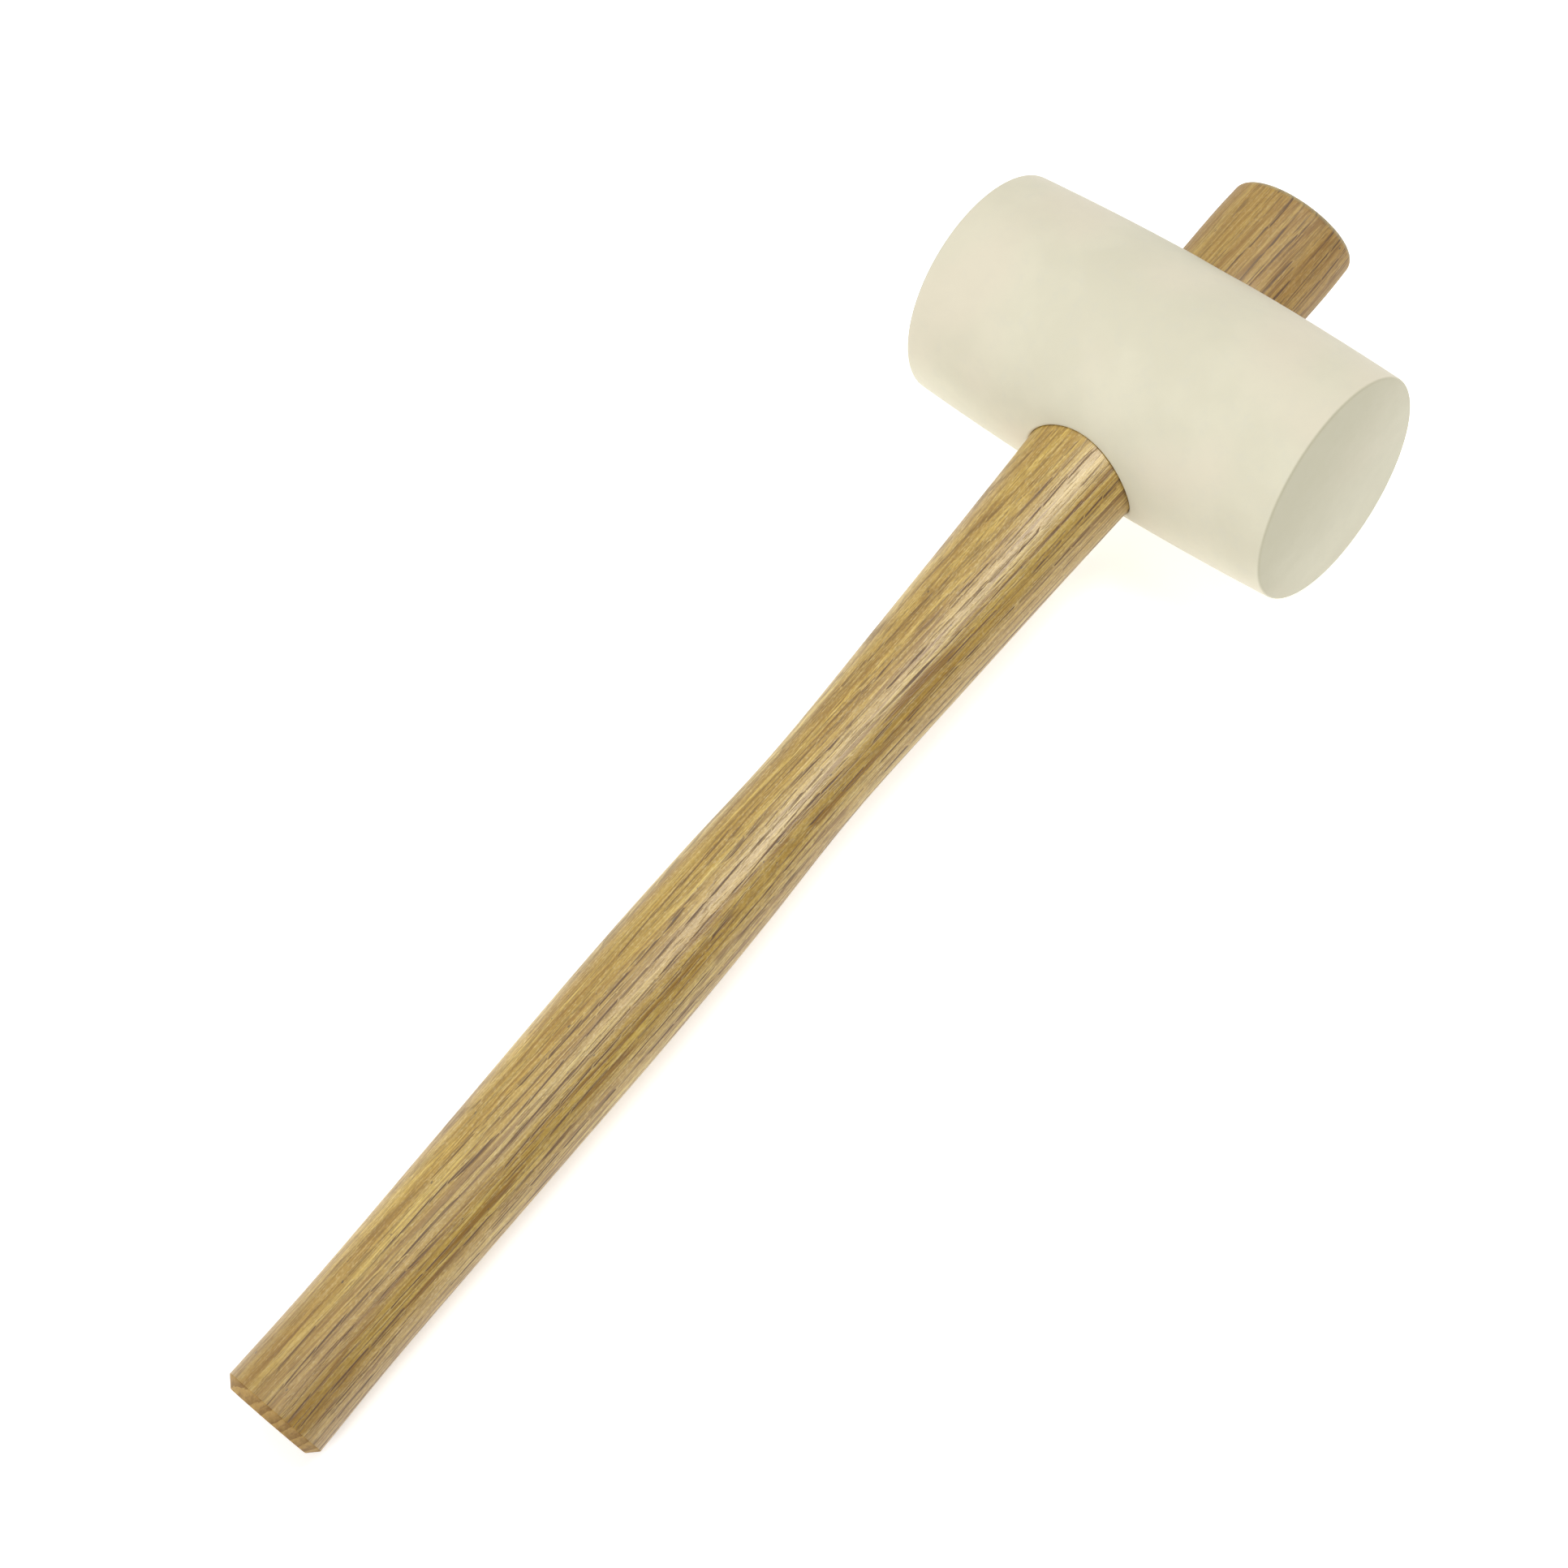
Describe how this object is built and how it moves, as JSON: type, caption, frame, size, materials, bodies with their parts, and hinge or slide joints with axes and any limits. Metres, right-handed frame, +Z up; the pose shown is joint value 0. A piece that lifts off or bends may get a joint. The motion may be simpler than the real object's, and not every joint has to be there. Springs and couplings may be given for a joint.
{
  "type": "rubber mallet",
  "caption": "Mallet with a solid off-white rubber head, slightly barrel-shaped between flat striking faces, on an oval oak handle whose flared top is jammed through the head's eye",
  "frame": {"origin": "middle of the bottom of the bounding box, on the surface that the mallet lies on", "axes": "+X along the handle towards the head, +Y along the head from face to face, +Z up. The mallet lies on the belly of its head and the lower edge of its butt, so the handle rises 3.5 degrees towards the head"},
  "size_m": [0.3916, 0.112, 0.065],
  "materials": {
    "white_rubber": "matte",
    "oak": "satin"
  },
  "bodies": {
    "root": {"rubber_head": "white_rubber", "oak_handle": "oak"}
  },
  "joints": []
}
